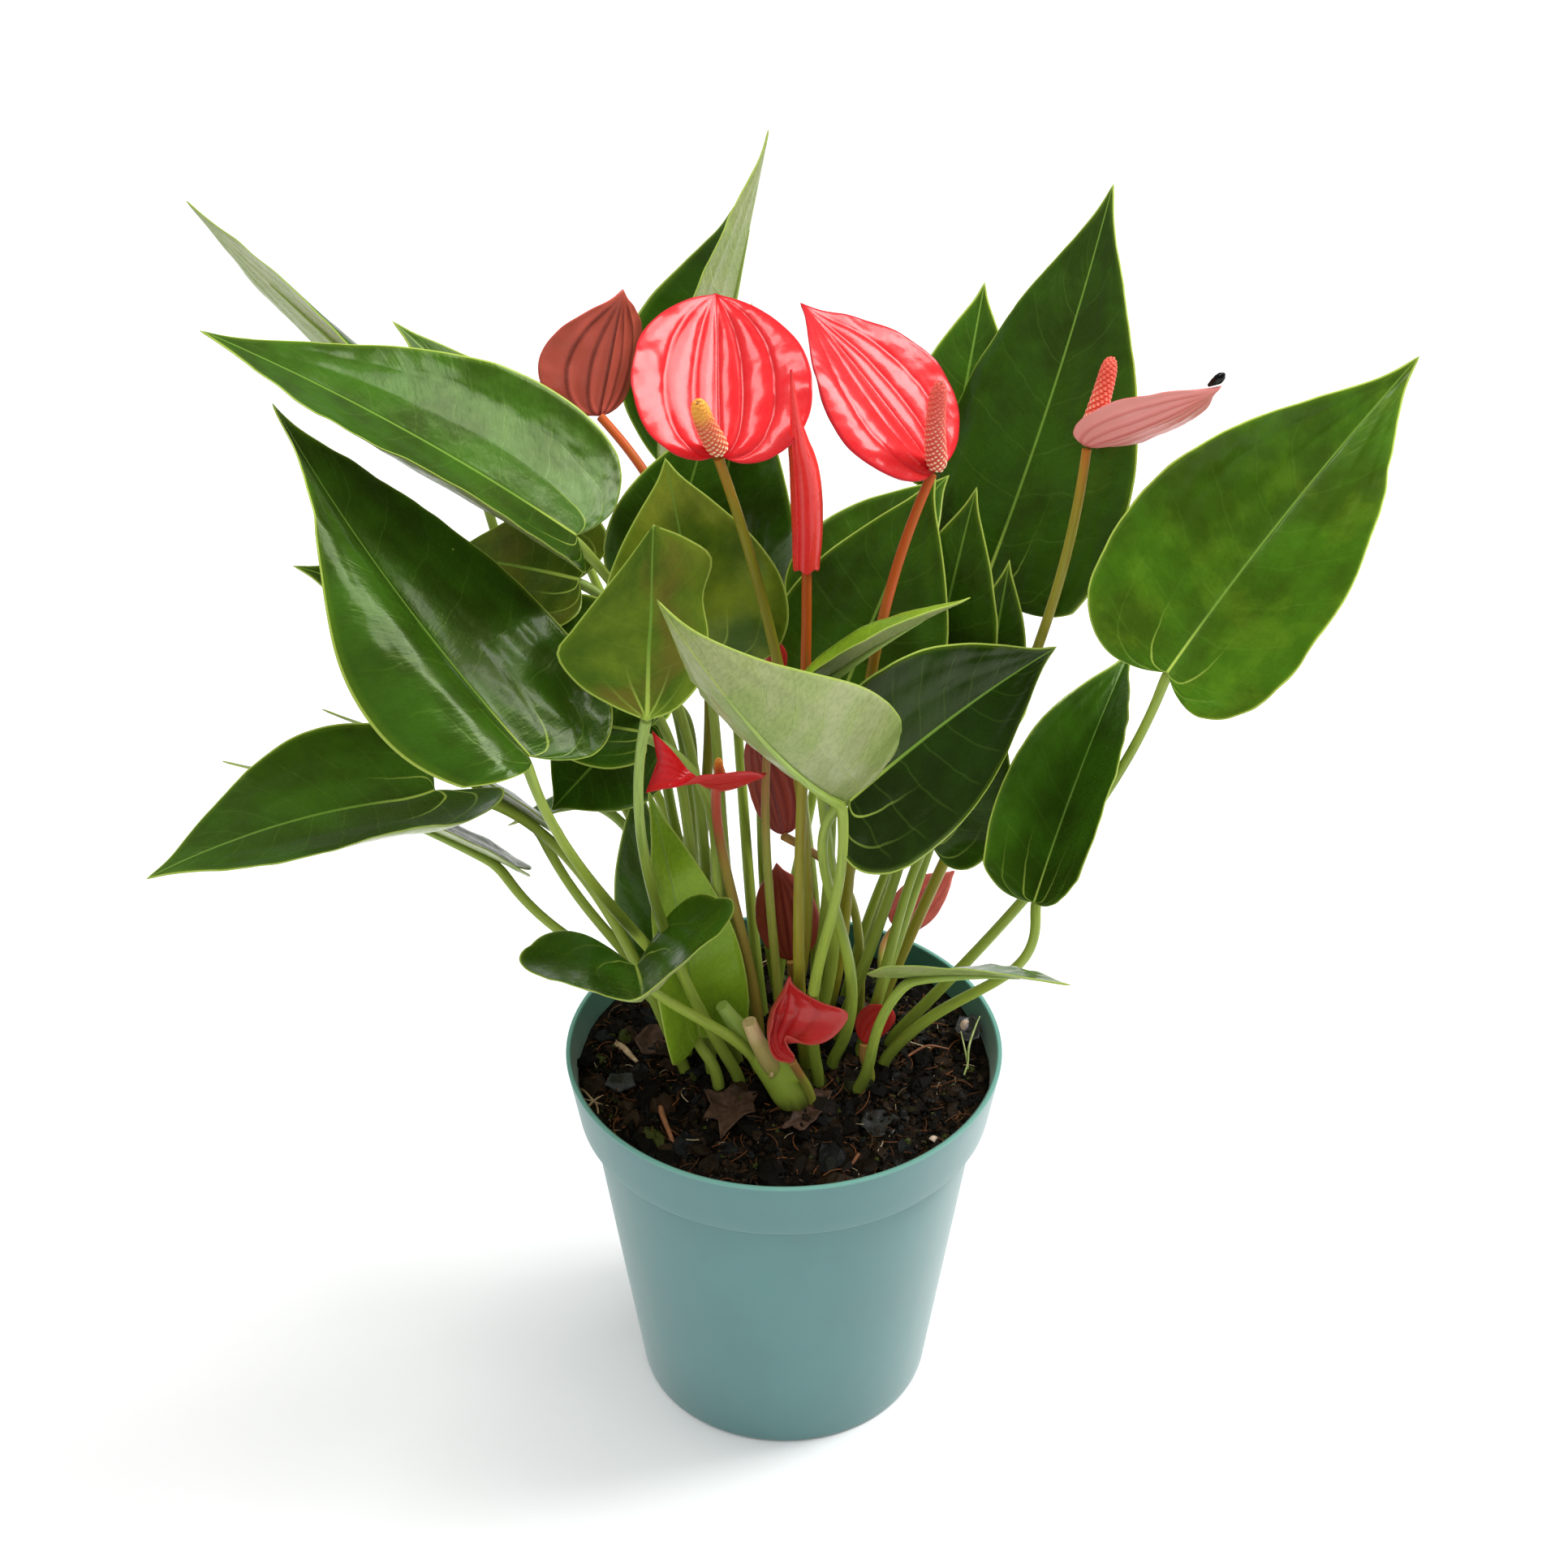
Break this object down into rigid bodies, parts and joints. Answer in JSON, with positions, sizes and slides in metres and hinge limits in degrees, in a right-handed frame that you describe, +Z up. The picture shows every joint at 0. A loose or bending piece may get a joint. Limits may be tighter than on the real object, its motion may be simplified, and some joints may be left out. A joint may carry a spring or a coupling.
{
  "type": "potted anthurium",
  "caption": "Potted anthurium: heart-shaped glossy green leaves and red spathes with beaded spadices on stalks, in a tapered collared plastic nursery pot of peat.",
  "frame": {"origin": "centre of the pot's flat underside, on the surface it stands on", "axes": "+Z up along the pot's axis; -Y towards the viewer of the picture; +X to the viewer's right"},
  "size_m": [0.3134, 0.2105, 0.3461],
  "materials": {
    "pot_plastic": "satin dusty-teal moulded plastic, darker green inside",
    "peat": "moist black-brown peat with bark chips, fibres and dead leaf scraps",
    "leaf_green": "waxy dark green leaf with a pale yellow-green margin and raised veins, paler below",
    "leaf_olive": "waxy olive to yellow-green young leaf with raised veins",
    "stalk_green": "smooth stalk, yellow-green below and orange-brown under the bloom",
    "spathe_red": "lacquered red spathe with sunk curved veins",
    "spathe_pink": "faded pink-red spathe seen from its paler underside",
    "spathe_maroon": "dull brown-maroon spathe with darker veins",
    "spadix_orange": "coral spadix with rows of small cream beads and a yellow-orange tip"
  },
  "bodies": {
    "root": {"pot": "pot_plastic", "soil": "peat", "bloom_back_maroon_spadix": "spadix_orange", "bloom_back_maroon_spathe": "spathe_maroon", "bloom_back_maroon_stalk": "stalk_green", "bloom_heart_red_spadix": "spadix_orange", "bloom_heart_red_spathe": "spathe_red", "bloom_heart_red_stalk": "stalk_green", "bloom_right_pink_spadix": "spadix_orange", "bloom_right_pink_spathe": "spathe_pink", "bloom_right_pink_stalk": "stalk_green", "bloom_round_red_spadix": "spadix_orange", "bloom_round_red_spathe": "spathe_red", "bloom_round_red_stalk": "stalk_green", "bloom_slim_red_spadix": "spadix_orange", "bloom_slim_red_spathe": "spathe_red", "bloom_slim_red_stalk": "stalk_green", "bloom_small_red_spadix": "spadix_orange", "bloom_small_red_spathe": "spathe_red", "bloom_small_red_stalk": "stalk_green", "bud_back_right": "spathe_pink", "bud_front_red": "spathe_red", "bud_front_right": "spathe_red", "bud_inner_tip": "spathe_red", "bud_middle_lower": "spathe_maroon", "bud_middle_upper": "spathe_maroon", "crown_shoot": "leaf_green", "leaf_back_left_middle": "leaf_green", "leaf_back_left_small": "leaf_green", "leaf_back_left_tall": "leaf_green", "leaf_back_middle": "leaf_green", "leaf_back_tall": "leaf_green", "leaf_facing_left": "leaf_green", "leaf_folded_yellow": "leaf_olive", "leaf_front_right": "leaf_green", "leaf_front_underside": "leaf_green", "leaf_hidden_back": "leaf_green", "leaf_hidden_back_left": "leaf_green", "leaf_hidden_back_right": "leaf_green", "leaf_left_low_inner": "leaf_green", "leaf_left_olive": "leaf_olive", "leaf_low_left": "leaf_green", "leaf_low_right": "leaf_green", "leaf_middle_behind": "leaf_green", "leaf_middle_olive": "leaf_olive", "leaf_middle_right": "leaf_green", "leaf_pair_back_right": "leaf_green", "leaf_pair_behind_left": "leaf_green", "leaf_pair_inner_left": "leaf_green", "leaf_pair_left_edge": "leaf_green", "leaf_pair_right_inner": "leaf_green", "leaf_right_erect": "leaf_green", "leaf_right_far": "leaf_green", "leaf_right_hanging": "leaf_green", "leaf_right_tall": "leaf_green", "leaf_upper_left": "leaf_green", "leaf_young_erect": "leaf_olive"}
  },
  "joints": []
}
